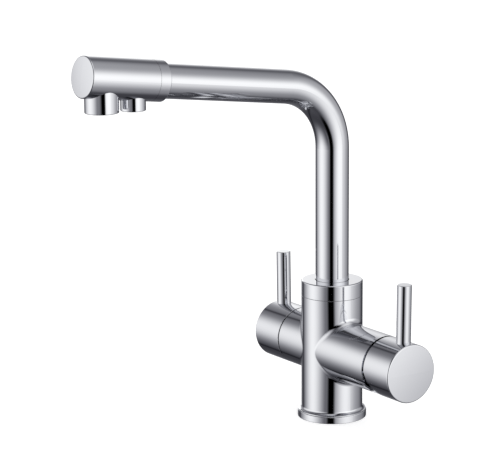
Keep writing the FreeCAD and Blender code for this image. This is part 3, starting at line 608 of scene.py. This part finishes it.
@dataclass(frozen=True)
class PaleFloor:
    """Pale floor that stays white to the camera and keeps a soft shadow under the tap.

    Attributes:
        size: The length of its sides, in metres.
        colour: Its colour, in sRGB.
        glow: What it adds to the light that the camera sees on it.
    """

    size: float = 6.0
    colour: str = "#D8D8D8"
    glow: float = 0.6

    def build(self) -> None:
        """Lay the floor at the tap's foot."""
        bm = bmesh.new()
        bmesh.ops.create_grid(bm, x_segments=1, y_segments=1, size=self.size / 2)
        floor = add_object("floor", bm, self.surface())
        floor.visible_glossy = False

    def surface(self) -> Material:
        """Give the matt surface that glows to the camera alone.

        Returns:
            The material.
        """
        material = new_material("pale_floor")
        tree = material.node_tree
        path = add_node(tree, "ShaderNodeLightPath")
        matt = add_node(tree, "ShaderNodeBsdfDiffuse", {"Color": linear(self.colour)})
        seen = maths(tree, "MULTIPLY", path.outputs["Is Camera Ray"], self.glow)
        light = add_node(tree, "ShaderNodeEmission", {"Strength": seen})
        both = add_node(tree, "ShaderNodeAddShader", {0: matt.outputs[0], 1: light.outputs[0]})
        add_node(tree, "ShaderNodeOutputMaterial", {"Surface": both.outputs[0]})
        return material


@dataclass(frozen=True)
class DarkCard:
    """Dark card beside the camera, which draws the black line down every polished upright.

    Attributes:
        azimuth: The compass direction that it faces the tap from, in degrees.
        distance: Its distance from the column's axis, in metres.
        shift: How far it stands to the right of that direction, in metres.
        width: Its width, in metres.
        height: Its height, in metres, half of it below the floor.
        solid_width: The share of its width that is black right through.
        solid_height: The share of its height that is.
    """

    # The card is made as a square with sides of 1, and scaled to its size.
    HALF_SIDE: ClassVar[float] = 0.5

    azimuth: float = 53.5
    distance: float = 0.536
    shift: float = -0.044
    width: float = 0.344
    height: float = 1.92
    solid_width: float = 0.38
    solid_height: float = 0.32

    def build(self) -> None:
        """Hang the card where only polished metal sees it."""
        bm = bmesh.new()
        bm.loops.layers.uv.new("UVMap")
        bmesh.ops.create_grid(bm, x_segments=1, y_segments=1, size=self.HALF_SIDE, calc_uvs=True)
        bmesh.ops.scale(bm, vec=(self.width, self.height, 1.0), verts=bm.verts)
        across = to_the_right(self.azimuth)
        towards = direction(self.azimuth)
        turn = Matrix((across, Vector((0.0, 0.0, 1.0)), towards)).transposed().to_4x4()
        turn.translation = towards * self.distance + across * self.shift
        bm.transform(turn)
        card = add_object("dark_card", bm, self.felt())
        card.visible_camera = False
        card.visible_diffuse = False
        card.visible_shadow = False

    def felt(self) -> Material:
        """Give the black felt of the card, which thins out softly towards its edges.

        Returns:
            The material.
        """
        material = new_material("dark_felt")
        tree = material.node_tree
        texture = add_node(tree, "ShaderNodeTexCoord")
        place = add_node(tree, "ShaderNodeSeparateXYZ", {"Vector": texture.outputs["UV"]})
        cover = []
        for side, solid in (("X", self.solid_width), ("Y", self.solid_height)):
            off = maths(tree, "SUBTRACT", place.outputs[side], self.HALF_SIDE)
            edge = add_node(tree, "ShaderNodeMapRange", {
                "Value": maths(tree, "ABSOLUTE", off), "From Min": solid / 2, "From Max": self.HALF_SIDE,
                "To Min": 1.0, "To Max": 0.0}, interpolation_type="SMOOTHSTEP")
            cover.append(edge.outputs["Result"])
        black = add_node(tree, "ShaderNodeBsdfDiffuse", {"Color": linear("#000000")})
        clear = add_node(tree, "ShaderNodeBsdfTransparent")
        mixed = add_node(tree, "ShaderNodeMixShader", {
            0: maths(tree, "MULTIPLY", *cover), 1: clear.outputs[0], 2: black.outputs[0]})
        add_node(tree, "ShaderNodeOutputMaterial", {"Surface": mixed.outputs[0]})
        return material


@dataclass(frozen=True)
class Studio:
    """Pale floor, white surroundings, and the soft tent of light that the chrome mirrors.

    Attributes:
        white_level: The surroundings' brightness to the camera.
        plain_level: Their brightness to matt surfaces.
        tent_low: The tent's own brightness straight below, to polished surfaces.
        tent_high: Its own brightness straight above.
        blue_power: The power that blue light follows, which makes dim light a little cooler.
        lights: The soft lights on the tent.
        seams: The tent's seams.
    """

    white_level: float = 1.0
    plain_level: float = 0.9
    tent_low: float = 0.052
    tent_high: float = 0.0
    blue_power: float = 0.95
    lights: Tuple[SoftLight, ...] = (
        SoftLight(-23.1, 6.2, 45.2, 22.3, 1.109, 1.54),
        SoftLight(-25.1, -26.2, 21.0, 12.8, 0.698, 0.97),
        SoftLight(106.1, 2.1, 31.6, 25.9, 1.435, 1.24),
        SoftLight(125.8, -44.6, 52.8, 15.9, 0.253, 1.69),
        SoftLight(-114.4, 12.9, 10.2, 12.6, 1.884, 0.88),
        SoftLight(-124.3, -40.1, 8.5, 36.5, 0.087, 0.64),
        SoftLight(163.4, 10.2, 30.9, 26.5, 0.472, 2.5),
        SoftLight(-72.6, 30.4, 24.2, 41.4, 0.167, 2.5),
        SoftLight(103.7, 68.5, 28.0, 29.2, 0.803, 1.23),
        SoftLight(134.3, 69.2, 197.9, 16.3, 0.166, 1.35),
    )
    seams: Tuple[TentSeam, ...] = (
        TentSeam(-80.5, 2.2, 0.68),
        TentSeam(-151.5, 5.0, 0.28),
    )

    def build(self) -> None:
        """Make the world, the floor and the dark card."""
        self.surroundings()
        PaleFloor().build()
        DarkCard().build()

    def surroundings(self) -> None:
        """White to the camera, plain to matt surfaces, and the tent of light to polished ones."""
        world = bpy.data.worlds.new("studio")
        bpy.context.scene.world = world
        world.use_nodes = True
        world.cycles.sampling_method = "NONE"
        tree = world.node_tree
        tree.nodes.clear()
        path = add_node(tree, "ShaderNodeLightPath")
        mirrored = maths(tree, "MAXIMUM", path.outputs["Is Glossy Ray"], path.outputs["Is Transmission Ray"])
        plain = add_node(tree, "ShaderNodeMix", {
            "Factor": path.outputs["Is Camera Ray"], "A": self.plain_level, "B": self.white_level})
        mixed = add_node(tree, "ShaderNodeMix", {
            "Factor": mirrored, "A": plain.outputs[0], "B": self.tent(tree)})
        strength = mixed.outputs[0]
        colour = add_node(tree, "ShaderNodeCombineColor", {
            "Red": strength, "Green": strength, "Blue": maths(tree, "POWER", strength, self.blue_power)})
        background = add_node(tree, "ShaderNodeBackground", {
            "Color": colour.outputs["Color"], "Strength": 1.0})
        add_node(tree, "ShaderNodeOutputWorld", {"Surface": background.outputs["Background"]})

    def tent(self, tree: Tree) -> Socket:
        """Work out the tent's brightness.

        Args:
            tree: The world's node tree.

        Returns:
            The brightness in the direction that is looked in.
        """
        ray = add_node(tree, "ShaderNodeTexCoord").outputs["Generated"]
        height = add_node(tree, "ShaderNodeSeparateXYZ", {"Vector": ray})
        cloth = add_node(tree, "ShaderNodeMapRange", {
            "Value": height.outputs["Z"], "From Min": -1.0,
            "To Min": self.tent_low, "To Max": self.tent_high})
        level = cloth.outputs["Result"]
        for light in self.lights:
            level = light.glow(tree, ray, level)
        for seam in self.seams:
            level = seam.shade(tree, ray, level)
        return level


@dataclass(frozen=True)
class PhotoCamera:
    """The photograph's camera: where it stands, where it looks, and its lens.

    Attributes:
        azimuth: Its compass direction from the tap, in degrees.
        elevation: Its height seen from the aim, in degrees.
        distance: Its distance from the aim, in metres.
        aim_height: The height of the aim on the column's axis, in metres.
        heading: The compass direction that it looks back along, in degrees.
        pitch: How far it looks down, in degrees.
        roll: How far it is tipped, in degrees.
        lens_mm: Its focal length.
        sensor_mm: The width of its picture.
        far: How far it sees, in metres.
    """

    azimuth: float = 52.955
    elevation: float = 12.441
    distance: float = 1.830761
    aim_height: float = 0.15297
    heading: float = 55.0
    pitch: float = 12.69665
    roll: float = -0.37825
    lens_mm: float = 169.67
    sensor_mm: float = 36.0
    far: float = 50.0

    def build(self) -> None:
        """Make the camera and let the scene use it."""
        pitch = math.radians(self.pitch)
        roll = math.radians(self.roll)
        level_ahead = -direction(self.heading)
        level_right = to_the_right(self.heading)
        upright = Vector((0.0, 0.0, 1.0))
        ahead = level_ahead * math.cos(pitch) - upright * math.sin(pitch)
        rise = upright * math.cos(pitch) + level_ahead * math.sin(pitch)
        right = level_right * math.cos(roll) + rise * math.sin(roll)
        top = rise * math.cos(roll) - level_right * math.sin(roll)
        data = bpy.data.cameras.new("photo_camera")
        data.lens = self.lens_mm
        data.sensor_width = self.sensor_mm
        data.clip_end = self.far
        camera = bpy.data.objects.new("photo_camera", data)
        aim = Vector((0.0, 0.0, self.aim_height))
        place = Matrix((right, top, -ahead)).transposed().to_4x4()
        place.translation = aim + direction(self.azimuth, self.elevation) * self.distance
        camera.matrix_world = place
        bpy.context.scene.collection.objects.link(camera)
        bpy.context.scene.camera = camera


# ------------------------------------------------------------------ main
def main() -> None:
    """Dress the tap and build the studio, reporting each part."""
    logging.basicConfig(level=logging.INFO, format="%(message)s")
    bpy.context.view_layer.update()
    PhotoCamera().build()
    for assembly in (DeckBody(), MixerControl(), FilterControl(), Spout(), Outlets()):
        assembly.dress()
    Studio().build()
    bpy.context.scene.view_settings.view_transform = "Standard"
    log.info("size written")


if __name__ == "__main__":
    main()
